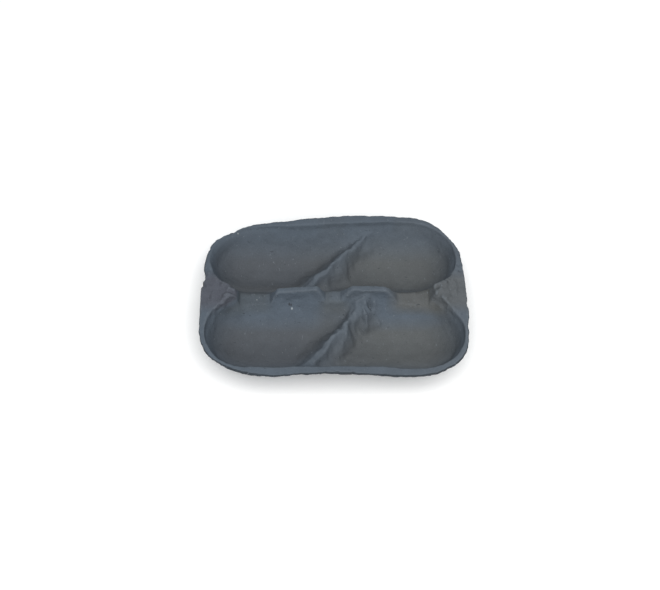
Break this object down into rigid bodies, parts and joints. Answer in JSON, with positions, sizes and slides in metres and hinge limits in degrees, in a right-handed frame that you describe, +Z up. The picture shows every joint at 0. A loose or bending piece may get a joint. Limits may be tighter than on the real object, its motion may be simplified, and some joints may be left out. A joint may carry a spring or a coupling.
{
  "type": "molded pulp avocado tray",
  "caption": "Shallow molded pulp tray with two long rounded wells, each parted by a slanting ridge into cells that cradle avocados, and a low notched rib between the wells.",
  "frame": {"origin": "middle of the tray's footprint, on the plane that it stands on", "axes": "+X along the wells, +Y across them, +Z up out of the cells"},
  "size_m": [0.19, 0.1394, 0.032],
  "materials": {
    "pulp": "matte dark slate grey molded pulp, fibrous"
  },
  "bodies": {
    "root": {"tray": "pulp"}
  },
  "joints": []
}
